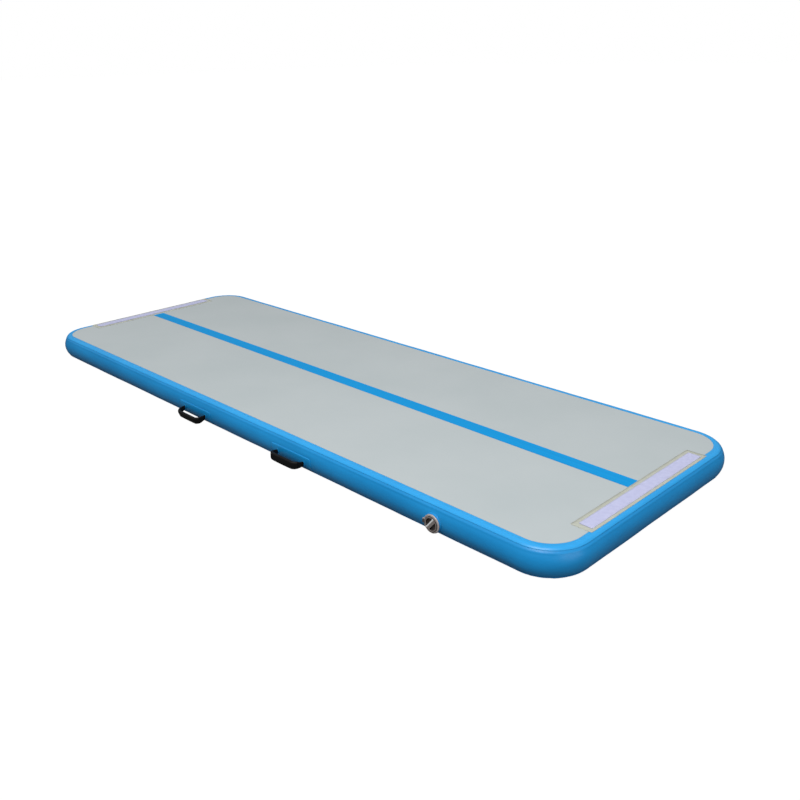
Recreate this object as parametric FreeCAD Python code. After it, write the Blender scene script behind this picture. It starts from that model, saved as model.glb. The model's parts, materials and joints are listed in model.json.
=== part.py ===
import FreeCAD, Part
import math
import os

# Air track mat: an inflatable drop-stitch tumbling mat with carry handles and a push valve.
# Frame: origin under the middle of the mat on the floor, X along the mat, Z up, millimetres.
# The valve is on the -Y side (the near side), towards the +X end.

V = FreeCAD.Vector
X_AXIS = V(1, 0, 0)
Y_AXIS = V(0, 1, 0)
Z_AXIS = V(0, 0, 1)

# ---------------------------------------------------------------- driving dimensions
# overall, inflated
mat_length = 3000.0
mat_width = 1040.0
mat_height = 100.0
corner_radius = 150.0       # in plan, at the outermost line of the wall
wall_bulge = 30.0           # how far the wall stands out past the flat faces
shoulder_radius = 19.2      # from the flat face into the side

# fabric
sheet_thickness = 0.9       # coated face sheets
base_cloth_thickness = 0.4  # woven base that the yarns are stitched into
wall_thickness = 1.2
tape_thickness = 0.8
seam_tape_thickness = 0.6
patch_thickness = 1.0
edge_tape_lap = 10.0        # of the edge tape on the flat face
seam_tape_lap = 16.0        # of the inner seam tape on the flat face
yarn_radius = 1.5           # one column stands for a bundle of yarns
yarn_spacing = 120.0
yarn_margin = 90.0          # from the mat's outermost line to the first yarns

# centre line and hook-and-loop pads
stripe_width = 57.0
stripe_thickness = 0.6
pad_outer_edge = 30.0       # from the mat's end
pad_inner_edge = 102.0
pad_length = 663.0
pad_thickness = 0.8
strip_outer_edge = 41.0
strip_inner_edge = 86.0
strip_length = 626.0
strip_thickness = 2.2

# joint of the wall strip, on the far side
joint_patch_x = 900.0
joint_patch_width = 60.0

# carry handles: place along the mat, side (+1 far, -1 near) and rest tilt above level
handles = {
    "near_left": (-243.0, -1, -20.0),
    "near_right": (364.0, -1, 3.0),
    "far_left": (-364.0, 1, 45.0),
    "far_right": (243.0, 1, -3.0),
}
handle_height = 36.0        # of the handle's root above the floor
handle_root = 526.0         # of the root's hinge line from the mat's centre line
handle_length = 150.0       # over the two legs
handle_reach = 31.0         # from the root to the middle of the grip
strap_width = 24.0
strap_thickness = 5.0       # two plies of webbing sewn together
strap_corner = 26.5         # outside radius of the strap's bends
root_radius = 3.0
root_flare = 16.0           # where the strap is at its full width
root_gap = 0.4
grip_length = 110.0
grip_height = 28.0
grip_depth = 14.0
grip_rounding = 6.5
handle_patch_length = 220.0
handle_patch_low = 9.5
handle_patch_high = 63.0
handle_patch_corner = 12.0

# valve: depths are measured inwards from the front of its flange
valve_x = 1043.0
valve_z = 41.0
flange_front = -526.0       # Y of the flange's front face
flange_radius = 30.5
flange_thickness = 3.5
gasket_thickness = 0.8
boot_radius = 31.5
valve_patch_radius = 33.5
body_radius = 25.0
body_depth = 36.0
wall_hole_radius = 25.3
cap_well_radius = 23.3
cap_well_depth = 6.2
skirt_groove_radius = 20.6
skirt_groove_depth = 9.4
collar_radius = 16.2
port_radius = 13.0
port_depth = 18.0
chamber_radius = 14.0
nut_radius = 29.0
nut_front = 20.0
nut_thickness = 7.0

# valve cap and its tether
cap_radius = 22.5
cap_front = -3.0
cap_back = 5.6
finger_well_radius = 20.3
finger_well_depth = 7.0
grip_bar_width = 13.0
grip_bar_angle = 51.0       # of the bar above +X
skirt_inner_radius = 17.2
skirt_outer_radius = 19.4
skirt_back = 8.6
seal_thickness = 0.3
tether_hinge_offset = 34.0  # from the valve's axis towards -X
tether_hinge_depth = 3.0
tether_width = 9.0
tether_front = -2.2
tether_back = -0.5
tether_ring_inner = 22.9
tether_ring_outer = 25.2
knuckle_radius = 1.6

# valve stem
button_radius = 8.5
button_front = 18.5
button_thickness = 2.0
stem_side = 3.6
stem_end = 40.5
disc_radius = 16.5
disc_front = 36.3
disc_thickness = 2.5
clip_radius = 5.0
clip_thickness = 1.0
guide_front = 29.0
guide_thickness = 4.0
hub_radius = 6.4
hub_bore_radius = 4.6
bush_radius = 4.3
bush_flange_radius = 6.0
bush_front = 27.6
bush_back = 34.0
bush_hole_side = 4.2
spring_radius = 4.6
spring_wire_radius = 0.4
spring_turns = 4
spring_gap = 0.2            # at each end of the spring

# ---------------------------------------------------------------- worked-out sizes
mid_height = mat_height / 2
half_wall = mid_height - tape_thickness            # half the height of the bare wall
flat_x = mat_length / 2 - wall_bulge               # where the flat faces end
flat_y = mat_width / 2 - wall_bulge
shoulder_rise = half_wall - shoulder_radius        # of the shoulder's centre above mid height
# the side is one arc that runs smoothly into both shoulders
side_radius = (wall_bulge**2 + shoulder_rise**2 - shoulder_radius**2) / (
    2 * (wall_bulge - shoulder_radius))
side_centre = wall_bulge - side_radius             # outwards from the flat face's edge
join_angle = math.degrees(math.atan2(shoulder_rise, -side_centre))
face_top = mat_height - tape_thickness             # of the grey face sheet
face_bottom = tape_thickness
yarn_top = face_top - sheet_thickness - base_cloth_thickness
yarn_bottom = face_bottom + sheet_thickness + base_cloth_thickness


def save(name, shape):
    shape.exportStep(os.path.join("parts", name + ".step"))
    print(name, len(shape.Solids), "solid(s),", round(shape.Volume / 1000, 2), "cm3")


def fused(shapes):
    return shapes[0].multiFuse(shapes[1:]).removeSplitter()


# ---------------------------------------------------------------- wall sections
def polar(centre, radius, degrees):
    angle = math.radians(degrees)
    return V(centre.x + radius * math.cos(angle), 0, centre.z + radius * math.sin(angle))


def arc_edge(centre, radius, start, stop):
    middle = polar(centre, radius, (start + stop) / 2)
    return Part.Arc(polar(centre, radius, start), middle, polar(centre, radius, stop)).toShape()


def skin_path(offset, flat, stop):
    """Edges along the wall's outside, moved outwards by offset: from `flat` inboard on the top
    face, over the shoulder and down the side to the direction `stop` above level."""
    shoulder = V(0, 0, mid_height + shoulder_rise)
    side = V(side_centre, 0, mid_height)
    foot = V(0, 0, mid_height - shoulder_rise)
    top = mid_height + half_wall + offset
    edges = []
    if flat > 0:
        edges.append(Part.LineSegment(V(-flat, 0, top), V(0, 0, top)).toShape())
    edges.append(arc_edge(shoulder, shoulder_radius + offset, 90, max(stop, join_angle)))
    if stop < join_angle:
        edges.append(arc_edge(side, side_radius + offset, join_angle, max(stop, -join_angle)))
    if stop < -join_angle:
        edges.append(arc_edge(foot, shoulder_radius + offset, -join_angle, stop))
    return edges


def closed_face(outer, inner):
    """A face between two open paths that start side by side and end side by side."""
    first = Part.LineSegment(outer[0].firstVertex().Point, inner[0].firstVertex().Point).toShape()
    last = Part.LineSegment(outer[-1].lastVertex().Point, inner[-1].lastVertex().Point).toShape()
    return Part.Face(Part.Wire(Part.__sortEdges__(outer + inner + [first, last])))


def skin_section(inner, outer, flat, stop):
    return closed_face(skin_path(outer, flat, stop), skin_path(inner, flat, stop))


def side_section(inner, outer, low, high):
    """A section of the side arc alone, between two heights above the floor."""
    centre = V(side_centre, 0, mid_height)
    start, stop = [math.degrees(math.asin((z - mid_height) / side_radius)) for z in (high, low)]
    return closed_face([arc_edge(centre, side_radius + outer, start, stop)],
                       [arc_edge(centre, side_radius + inner, start, stop)])


def filled_section(offset):
    """Everything inside the wall's outside moved outwards by offset, for cutting."""
    edges = skin_path(offset, 40, -90)
    start = edges[0].firstVertex().Point
    end = edges[-1].lastVertex().Point
    corner = V(start.x, 0, end.z)
    edges.append(Part.LineSegment(end, corner).toShape())
    edges.append(Part.LineSegment(corner, start).toShape())
    return Part.Face(Part.Wire(Part.__sortEdges__(edges)))


def turned_over(shape):
    """The same shape on the underside of the mat."""
    return shape.mirror(V(0, 0, mid_height), Z_AXIS)


def ring(section):
    """Carry a wall section once round the mat: four straight runs and four corners."""
    core = corner_radius - wall_bulge
    run_x = mat_length / 2 - corner_radius
    run_y = mat_width / 2 - corner_radius
    pieces = []
    for quarter in range(4):
        near, far = (run_x, run_y) if quarter % 2 == 0 else (run_y, run_x)
        start = section.translated(V(core, 0, 0))
        corner = start.revolve(V(0, 0, 0), Z_AXIS, 90)
        end = start.copy()
        end.rotate(V(0, 0, 0), Z_AXIS, 90)
        straight = end.extrude(V(-2 * near, 0, 0))
        for piece in (corner, straight):
            piece.translate(V(near, far, 0))
            piece.rotate(V(0, 0, 0), Z_AXIS, 90 * quarter)
            pieces.append(piece)
    return fused(pieces)


def along_side(section, start_x, stop_x):
    """Run a wall section along the far side between two places."""
    face = section.copy()
    face.rotate(V(0, 0, 0), Z_AXIS, 90)
    face.translate(V(start_x, flat_y, 0))
    return face.extrude(V(stop_x - start_x, 0, 0))


def to_side(shape, side):
    """Shapes for a long side are made on the far side and mirrored for the near one."""
    return shape if side > 0 else shape.mirror(V(0, 0, 0), Y_AXIS)


def rounded_plate(half_x, half_y, radius, bottom, thickness):
    """A flat plate with rounded corners in plan."""
    plate = Part.makeBox(2 * half_x, 2 * half_y, thickness, V(-half_x, -half_y, bottom))
    upright = [e for e in plate.Edges
               if abs(e.firstVertex().Point.z - e.lastVertex().Point.z) > thickness / 2]
    return plate.makeFillet(radius, upright)


def face_plate(inset, bottom, thickness):
    """A plate that follows the mat's plan, its edge `inset` inside the outermost line."""
    return rounded_plate(mat_length / 2 - inset, mat_width / 2 - inset, corner_radius - inset,
                         bottom, thickness)


# ---------------------------------------------------------------- inflated body
def make_faces():
    inset = wall_bulge + seam_tape_lap
    top = face_plate(wall_bulge, face_top - sheet_thickness, sheet_thickness)
    cloth = face_plate(inset, yarn_top, base_cloth_thickness)
    save("top_sheet", top)
    save("bottom_sheet", turned_over(top))
    save("top_base_cloth", cloth)
    save("bottom_base_cloth", turned_over(cloth))


def make_yarns():
    count_x = int((mat_length / 2 - yarn_margin) // yarn_spacing)
    count_y = int((mat_width / 2 - yarn_margin) // yarn_spacing)
    columns = []
    for i in range(-count_x, count_x + 1):
        for j in range(-count_y, count_y + 1):
            foot = V(i * yarn_spacing, j * yarn_spacing, yarn_bottom)
            columns.append(Part.makeCylinder(yarn_radius, yarn_top - yarn_bottom, foot))
    save("drop_stitch_yarns", Part.makeCompound(columns))


def make_wall():
    wall = ring(skin_section(-wall_thickness, 0, 0, -90))
    save("side_wall", wall.cut(valve_cylinder(wall_hole_radius, 0, body_depth)))
    tape = ring(skin_section(0, tape_thickness, edge_tape_lap, join_angle))
    save("top_edge_tape", tape)
    save("bottom_edge_tape", turned_over(tape))
    # the flat part of the inner tape lies under the face sheet, the rest against the wall
    back = -wall_thickness - seam_tape_thickness
    arc = ring(skin_section(back, -wall_thickness, 0, join_angle + 5))
    lap = face_plate(wall_bulge, face_top - wall_thickness - seam_tape_thickness,
                     seam_tape_thickness)
    lap = lap.cut(face_plate(wall_bulge + seam_tape_lap, 0, mat_height))
    seam = fused([arc, lap])
    save("top_seam_tape", seam)
    save("bottom_seam_tape", turned_over(seam))
    cover = along_side(side_section(0, patch_thickness, 9.5, mat_height - 9.5),
                       joint_patch_x, joint_patch_x + joint_patch_width)
    save("wall_joint_patch", cover)


def make_markings():
    half_stripe = mat_length / 2 - pad_inner_edge
    save("centre_stripe", Part.makeBox(2 * half_stripe, stripe_width, stripe_thickness,
                                       V(-half_stripe, -stripe_width / 2, face_top)))
    tape_edge = wall_bulge + edge_tape_lap
    end = mat_length / 2
    # the pad lies on the face sheet and steps up onto the edge tape
    low = Part.makeBox(pad_inner_edge - tape_edge, pad_length, pad_thickness,
                       V(end - pad_inner_edge, -pad_length / 2, face_top))
    high = Part.makeBox(tape_edge + 1 - pad_outer_edge, pad_length, pad_thickness,
                        V(end - tape_edge - 1, -pad_length / 2, mat_height))
    pad = fused([low, high])
    strip = Part.makeBox(strip_inner_edge - strip_outer_edge, strip_length, strip_thickness,
                         V(end - strip_inner_edge, -strip_length / 2, face_top + pad_thickness))
    strip = strip.cut(high)
    for name, shape in (("pad_backing", pad), ("fastener_strip", strip)):
        save(name + "_right", shape)
        save(name + "_left", shape.mirror(V(0, 0, 0), X_AXIS))


# ---------------------------------------------------------------- carry handles
def handle_outline():
    """The strap's U seen from above: two legs out from the wall and the bar between them."""
    half = handle_length / 2
    front = handle_reach + strap_thickness / 2
    block = Part.makeBox(2 * half, front + root_radius, strap_width,
                         V(-half, -root_radius, -strap_width / 2))
    inside = Part.makeBox(2 * (half - strap_thickness), front + root_radius, 2 * strap_width,
                          V(-half + strap_thickness, -root_radius - strap_thickness, -strap_width))
    return block.makeFillet(strap_corner, upright_at(block, front)).cut(
        inside.makeFillet(strap_corner - strap_thickness,
                          upright_at(inside, front - strap_thickness)))


def upright_at(solid, y):
    return [e for e in solid.Edges
            if abs(e.firstVertex().Point.x - e.lastVertex().Point.x) < 0.01
            and abs(e.firstVertex().Point.y - y) < 0.01 and abs(e.lastVertex().Point.y - y) < 0.01]


def root_profile():
    """Side view of the strap: a rounded root that flares to the full width."""
    wide = strap_width / 2
    reach = handle_reach + grip_depth
    points = [V(0, 0, root_radius), V(0, root_flare, wide), V(0, reach, wide), V(0, reach, -wide),
              V(0, root_flare, -wide), V(0, 0, -root_radius), V(0, 0, root_radius)]
    flare = Part.Face(Part.makePolygon(points)).extrude(V(handle_length, 0, 0))
    eye = Part.makeCylinder(root_radius, handle_length, V(0, 0, 0), X_AXIS)
    profile = flare.fuse(eye)
    profile.translate(V(-handle_length / 2, 0, 0))
    return profile


def grip_sleeve(strap):
    bar = Part.makeBox(grip_length, grip_depth, grip_height,
                       V(-grip_length / 2, handle_reach - grip_depth / 2, -grip_height / 2))
    long_edges = [e for e in bar.Edges
                  if abs(e.firstVertex().Point.x - e.lastVertex().Point.x) > grip_length / 2]
    return bar.makeFillet(grip_rounding, long_edges).cut(strap)


def make_handles():
    strap = handle_outline().common(root_profile())
    grip = grip_sleeve(strap)
    inside = along_side(filled_section(patch_thickness), -handle_length, handle_length)
    for name, (x, side, tilt) in handles.items():
        root = V(x, handle_root, handle_height)
        for piece, shape in (("strap", strap), ("grip", grip)):
            placed = shape.copy()
            placed.rotate(V(0, 0, 0), X_AXIS, tilt)
            placed.translate(root)
            save("handle_" + name + "_" + piece, to_side(placed, side))
        save("handle_" + name + "_anchors", to_side(handle_anchors(inside, x), side))
        save("handle_" + name + "_patch", to_side(handle_patch(x), side))


def handle_anchors(inside, x):
    """Short ends of the webbing that stand out of the patch, one at each leg."""
    length = handle_root - root_radius - root_gap - flat_y
    leg_x = handle_length / 2 - strap_thickness
    stubs = [Part.makeBox(strap_thickness, length, strap_width,
                          V(left, flat_y, handle_height - strap_width / 2)).cut(inside)
             for left in (-handle_length / 2, leg_x)]
    anchors = Part.makeCompound(stubs)
    anchors.translate(V(x, 0, 0))
    return anchors


def handle_patch(x):
    half = handle_patch_length / 2
    band = along_side(side_section(0, patch_thickness, handle_patch_low, handle_patch_high),
                      x - half, x + half)
    height = handle_patch_high - handle_patch_low
    window = Part.makeBox(2 * half, wall_bulge + 10, height,
                          V(x - half, flat_y, handle_patch_low))
    cross = [e for e in window.Edges
             if abs(e.firstVertex().Point.y - e.lastVertex().Point.y) > wall_bulge]
    return band.common(window.makeFillet(handle_patch_corner, cross))


# ---------------------------------------------------------------- valve
def valve_cylinder(radius, front, back):
    return Part.makeCylinder(radius, back - front, V(valve_x, flange_front + front, valve_z), Y_AXIS)


def valve_tube(inner, outer, front, back):
    return valve_cylinder(outer, front, back).cut(valve_cylinder(inner, front, back))


def valve_box(width, height, front, back, x=0.0, z=0.0):
    """A box centred x, z from the valve's axis."""
    return Part.makeBox(width, back - front, height,
                        V(valve_x + x - width / 2, flange_front + front, valve_z + z - height / 2))


def turned_about_valve(shape, degrees):
    """Turned about the valve's axis, from +X towards +Z."""
    copy = shape.copy()
    copy.rotate(V(valve_x, 0, valve_z), Y_AXIS, -degrees)
    return copy


def near_wall(section):
    """A stretch of the near wall around the valve, for cutting."""
    reach = 2 * valve_patch_radius
    return to_side(along_side(section, valve_x - reach, valve_x + reach), -1)


def make_valve_seat():
    """Patch, boot, gasket and backing ring that the fabric wall is clamped between."""
    hole = valve_cylinder(wall_hole_radius, -10, body_depth)
    wall = near_wall(filled_section(0))
    with_patch = near_wall(filled_section(patch_thickness))
    inside = near_wall(filled_section(-wall_thickness))
    boot_front = flange_thickness + gasket_thickness
    patch = near_wall(side_section(0, patch_thickness, 8.6, mat_height - 8.6))
    save("valve_patch", patch.common(valve_cylinder(valve_patch_radius, 0, body_depth)).cut(hole))
    boot = valve_cylinder(boot_radius, boot_front, nut_front).cut(with_patch).cut(hole)
    save("valve_boot", boot)
    save("valve_gasket", valve_tube(body_radius, flange_radius - 1, flange_thickness, boot_front))
    backing = valve_cylinder(nut_radius, boot_front, nut_front).common(inside)
    save("valve_backing_ring", backing.cut(valve_cylinder(body_radius, 0, body_depth)))
    ears = [valve_box(6.5, 2.5, 1.8, 9, x=-tether_hinge_offset + 0.75,
                      z=side * (tether_width / 2 + 0.4 + 1.25)) for side in (1, -1)]
    anchor = Part.makeCompound(ears).cut(with_patch)
    anchor = anchor.cut(valve_cylinder(boot_radius, 0, nut_front))
    save("tether_anchor", anchor)


def make_valve_housing():
    flange = valve_cylinder(flange_radius, 0, flange_thickness)
    front_rim = [e for e in flange.Edges
                 if abs(e.BoundBox.YMin - flange_front) < 0.01 and e.BoundBox.YLength < 0.01]
    flange = flange.makeFillet(1.4, front_rim)
    body = flange.fuse(valve_cylinder(body_radius, 0, body_depth))
    body = body.cut(valve_cylinder(cap_well_radius, 0, cap_well_depth))
    body = body.cut(valve_tube(collar_radius, skirt_groove_radius, cap_well_depth,
                               skirt_groove_depth))
    body = body.cut(valve_cylinder(port_radius, cap_well_depth, port_depth))
    body = body.cut(valve_cylinder(chamber_radius, port_depth, body_depth))
    # a fine groove round the flange, and thread ridges behind the nut
    body = body.cut(valve_tube(26.4, 27.4, 0, 0.5))
    ridges = [valve_tube(body_radius - 0.5, body_radius + 0.7, front, front + 0.9)
              for front in (28.5, 30.5, 32.5, 34.5)]
    save("valve_housing", fused([body] + ridges))
    nut = valve_tube(body_radius, nut_radius, nut_front, nut_front + nut_thickness)
    slot = valve_box(4, 5, nut_front + 3, nut_front + nut_thickness, x=nut_radius)
    for step in range(8):
        nut = nut.cut(turned_about_valve(slot, 45 * step))
    save("valve_lock_nut", nut)


def make_valve_stem():
    guide = valve_tube(chamber_radius - 2.5, chamber_radius, guide_front,
                       guide_front + guide_thickness)
    hub = valve_tube(hub_bore_radius, hub_radius, guide_front, guide_front + guide_thickness)
    spoke_length = chamber_radius - hub_radius
    spoke = valve_box(spoke_length, 2.4, guide_front + 0.5, guide_front + guide_thickness - 0.5,
                      x=(chamber_radius + hub_radius) / 2 - 0.8)
    spokes = [turned_about_valve(spoke, 30 + 120 * step) for step in range(3)]
    save("valve_stem_guide", fused([guide, hub] + spokes))
    bush = valve_cylinder(bush_radius, bush_front, bush_back).fuse(
        valve_cylinder(bush_flange_radius, bush_front, bush_front + 1))
    save("valve_guide_bush", bush.removeSplitter().cut(
        valve_box(bush_hole_side, bush_hole_side, bush_front, bush_back)))
    stem = valve_box(stem_side, stem_side, button_front + 1, stem_end)
    save("valve_stem", stem)
    button_back = button_front + button_thickness
    button = valve_cylinder(button_radius, button_front, button_back).cut(stem)
    save("valve_button", button)
    disc_back = disc_front + disc_thickness
    save("valve_seal_disc", valve_cylinder(disc_radius, disc_front, disc_back).cut(stem))
    clip = valve_cylinder(clip_radius, disc_back, disc_back + clip_thickness).cut(stem)
    save("valve_stem_clip", clip.cut(valve_box(4, 1.2, disc_back, disc_back + 2, x=4)))
    save("valve_spring", valve_spring(button_back, bush_front))


def valve_spring(front, back):
    """A coil spring with its ends just clear of the button and the bush."""
    height = back - front - 2 * (spring_wire_radius + spring_gap)
    coil = Part.makeHelix(height / spring_turns, height, spring_radius)
    wire = wire_section(V(spring_radius, 0, 0), spring_wire_radius)
    spring = Part.Wire(coil.Edges).makePipeShell([wire], True, True)
    spring.rotate(V(0, 0, 0), X_AXIS, -90)
    spring.translate(V(valve_x, flange_front + front + spring_wire_radius + spring_gap, valve_z))
    return spring


def wire_section(centre, radius):
    """Thin round wire as an octagon, so that its mesh keeps its volume."""
    corners = [polar(centre, radius, 22.5 + 45 * step) for step in range(8)]
    return Part.makePolygon(corners + corners[:1])


def make_cap():
    head = valve_cylinder(cap_radius, cap_front, cap_back)
    lip = valve_tube(cap_radius - 1, 23.4, cap_front, cap_front + 0.4)
    skirt = valve_tube(skirt_inner_radius, skirt_outer_radius, cap_back - 0.5, skirt_back)
    cap = fused([head, lip, skirt])
    well = valve_cylinder(finger_well_radius, cap_front, cap_front + finger_well_depth)
    bar = turned_about_valve(valve_box(3 * cap_radius, grip_bar_width, cap_front,
                                       cap_front + finger_well_depth), grip_bar_angle)
    save("valve_cap", cap.cut(well.cut(bar)))
    save("valve_cap_seal", valve_tube(port_radius + 0.5, collar_radius + 0.7, cap_back,
                                      cap_back + seal_thickness))


def make_tether():
    """A ring round the cap, an arm out over the flange and a leg down to the hinge."""
    loop = valve_tube(tether_ring_inner, tether_ring_outer, tether_front, tether_back)
    start = -tether_hinge_offset
    stop = -tether_ring_inner - 0.9
    arm = valve_box(stop - start, tether_width, tether_front, tether_back, x=(start + stop) / 2)
    leg = valve_box(2 * knuckle_radius, tether_width, tether_back - 0.5, tether_hinge_depth,
                    x=start)
    slant = valve_box(2 * knuckle_radius, tether_width, tether_front, tether_back, x=start)
    corner = [e for e in slant.Edges if abs(e.BoundBox.YMin - flange_front - tether_front) < 0.01
              and e.BoundBox.YLength < 0.01 and e.BoundBox.XMax < valve_x + start
              and e.BoundBox.XLength < 0.01]
    slant = slant.makeChamfer(1.4, corner)
    knuckle = Part.makeCylinder(knuckle_radius, tether_width,
                                V(valve_x + start, flange_front + tether_hinge_depth,
                                  valve_z - tether_width / 2), Z_AXIS)
    save("valve_tether", fused([loop, arm, leg, slant, knuckle]))


os.makedirs("parts", exist_ok=True)
print("side radius", round(side_radius, 2), "join angle", round(join_angle, 2))
make_faces()
make_yarns()
make_wall()
make_markings()
make_handles()
make_valve_seat()
make_valve_housing()
make_valve_stem()
make_cap()
make_tether()
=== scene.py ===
# %% [markdown]
# # An air track mat
#
# An air track is a long inflatable tumbling mat. Two coated cloth faces are tied together by
# thousands of yarns, so it blows up flat, and a band of PVC closes it all round. This notebook
# builds its looks round a fixed mechanical model, which is loaded first. Everything is in metres,
# X runs along the mat and Z is up. The valve's side faces the camera.

# %% Load the mechanical model
import json
import math

import bmesh
import bpy
from mathutils import Matrix, Vector, noise


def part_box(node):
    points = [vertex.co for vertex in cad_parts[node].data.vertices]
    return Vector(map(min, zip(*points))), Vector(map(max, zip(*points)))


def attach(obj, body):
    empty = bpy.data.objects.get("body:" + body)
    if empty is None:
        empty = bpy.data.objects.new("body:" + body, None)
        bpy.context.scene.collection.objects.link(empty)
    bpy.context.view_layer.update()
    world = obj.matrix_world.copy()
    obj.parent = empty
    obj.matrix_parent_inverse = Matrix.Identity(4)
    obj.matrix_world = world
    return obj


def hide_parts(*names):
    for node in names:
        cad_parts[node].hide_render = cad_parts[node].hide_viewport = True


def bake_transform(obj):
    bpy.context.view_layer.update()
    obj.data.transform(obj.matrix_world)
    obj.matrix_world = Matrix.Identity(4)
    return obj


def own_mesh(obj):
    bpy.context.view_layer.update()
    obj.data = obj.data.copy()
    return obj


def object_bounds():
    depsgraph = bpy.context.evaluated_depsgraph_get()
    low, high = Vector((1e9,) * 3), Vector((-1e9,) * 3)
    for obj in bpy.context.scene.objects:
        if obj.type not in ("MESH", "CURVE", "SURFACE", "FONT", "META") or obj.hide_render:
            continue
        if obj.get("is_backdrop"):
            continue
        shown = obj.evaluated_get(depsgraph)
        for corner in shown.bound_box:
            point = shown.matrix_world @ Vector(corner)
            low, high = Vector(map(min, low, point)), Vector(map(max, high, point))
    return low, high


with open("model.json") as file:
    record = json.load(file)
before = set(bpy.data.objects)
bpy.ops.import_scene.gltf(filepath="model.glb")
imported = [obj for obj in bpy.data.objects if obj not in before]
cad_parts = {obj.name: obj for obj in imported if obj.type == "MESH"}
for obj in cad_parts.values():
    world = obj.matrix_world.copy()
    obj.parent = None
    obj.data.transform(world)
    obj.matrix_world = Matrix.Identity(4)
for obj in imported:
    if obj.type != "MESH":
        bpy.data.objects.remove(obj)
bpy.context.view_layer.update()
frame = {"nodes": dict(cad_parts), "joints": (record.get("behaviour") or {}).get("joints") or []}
MM = 0.001

# %% [markdown]
# ## The camera
#
# The camera comes first, so that every step can be looked at. A photographer would stand off one
# corner of the mat with a normal lens, a little above head height of someone kneeling, and look
# down along it. The turn, tilt and roll are set as a matrix, because a level camera would be
# wrong: the real one leaned by about a degree.

# %% Camera
CAMERA_PLACE = Vector((2.589, -2.155, 1.347))
CAMERA_TURN, CAMERA_TILT, CAMERA_ROLL = math.radians(45.64), math.radians(22.0), math.radians(-1.30)
LENS_MM, SENSOR_MM = 38.98, 36.0

camera_data = bpy.data.cameras.new("camera")
camera_data.lens, camera_data.sensor_width = LENS_MM, SENSOR_MM
camera = bpy.data.objects.new("camera", camera_data)
bpy.context.scene.collection.objects.link(camera)
camera.matrix_world = (Matrix.Translation(CAMERA_PLACE)
                       @ Matrix.Rotation(CAMERA_TURN, 4, "Z")
                       @ Matrix.Rotation(math.pi / 2 - CAMERA_TILT, 4, "X")
                       @ Matrix.Rotation(CAMERA_ROLL, 4, "Z"))
bpy.context.scene.camera = camera
print("camera", [round(v, 2) for v in camera.matrix_world.translation])

# %% [markdown]
# ## The mat's measures
#
# The wall is one smooth curve: a small shoulder arc, a large side arc and a second shoulder. Three
# measures say all of it, and the rest comes from the model's own boxes. Working these out once
# lets every skin, tape and patch lie exactly where the one below it ends.

# %% Measures of the inflated body
wall_low, wall_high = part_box("side_wall")
sheet_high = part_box("top_sheet")[1]
FLAT_X, FLAT_Y = sheet_high.x, sheet_high.y     # where the flat faces end
FACE_TOP = sheet_high.z
MAT_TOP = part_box("top_edge_tape")[1].z
MIDDLE = (wall_low.z + wall_high.z) / 2
HALF_WALL = wall_high.z - MIDDLE
BULGE = 30 * MM
SHOULDER = 19.2 * MM
CORNER = 120 * MM                               # in plan, of the flat faces
RUN_X, RUN_Y = FLAT_X - CORNER, FLAT_Y - CORNER
RISE = HALF_WALL - SHOULDER
SIDE_RADIUS = (BULGE**2 + RISE**2 - SHOULDER**2) / (2 * (BULGE - SHOULDER))
SIDE_CENTRE = BULGE - SIDE_RADIUS
JOIN = math.atan2(RISE, -SIDE_CENTRE)           # where shoulder and side meet, above level
TAPE = MAT_TOP - FACE_TOP
TAPE_LAP = 10 * MM
valve_low, valve_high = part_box("valve_housing")
VALVE = Vector(((valve_low.x + valve_high.x) / 2, valve_low.y, (valve_low.z + valve_high.z) / 2))
print("flat face", round(2 * FLAT_X, 3), "x", round(2 * FLAT_Y, 3), "valve at", VALVE)

# %% [markdown]
# ## Small helpers
#
# A piece is a mesh whose object stays at the origin, so its place is in its points. One helper
# turns a bmesh into such an object, smooths it and puts it on a body of the mechanical model.

# %% Making a piece
BROAD = 0.02                        # square metres; larger faces are flat by design


def piece(name, bm, body, finish, replaces=()):
    mesh = bpy.data.meshes.new(name)
    bm.to_mesh(mesh)
    bm.free()
    for face in mesh.polygons:
        face.use_smooth = face.area < BROAD
    made = bpy.data.objects.new(name, mesh)
    bpy.context.scene.collection.objects.link(made)
    mesh.materials.append(finish)
    if body:
        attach(made, body)
    if replaces:
        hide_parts(*replaces)
    print(name, len(mesh.polygons), "faces")
    return made


def points_of(geometry):
    return [g for g in geometry if isinstance(g, bmesh.types.BMVert)]


def thicken(made, thickness):
    """Gives a skin its thickness, inwards from the surface that shows."""
    added = made.modifiers.new("Thickness", "SOLIDIFY")
    added.thickness, added.offset = thickness, -1


# %% [markdown]
# ## Material helpers
#
# Every finish is made of nodes. One function turns the sRGB hex that a person would pick into the
# linear colour that Blender uses, and one adds a node with its settings and its links. A third
# starts each material with a shader and the piece's own coordinates.

# %% Node helpers
def linear(code):
    def one(pair):
        value = int(pair, 16) / 255
        return value / 12.92 if value <= 0.04045 else ((value + 0.055) / 1.055) ** 2.4
    return one(code[0:2]), one(code[2:4]), one(code[4:6]), 1.0


def add(tree, kind, inputs=None, stops=None, **settings):
    """Adds a node. `inputs` maps a socket's name or number to a value or to another socket, and
    `stops` gives a colour ramp its (place, hex) pairs."""
    node = tree.nodes.new("ShaderNode" + kind)
    for name, value in settings.items():
        setattr(node, name, value)
    for key, value in (inputs or {}).items():
        if isinstance(value, bpy.types.NodeSocket):
            tree.links.new(value, node.inputs[key])
        else:
            node.inputs[key].default_value = value
    for index, (spot, code) in enumerate(stops or []):
        band = node.color_ramp.elements
        element = band[index] if index < len(band) else band.new(spot)
        element.position, element.color = spot, linear(code)
    return node


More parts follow.
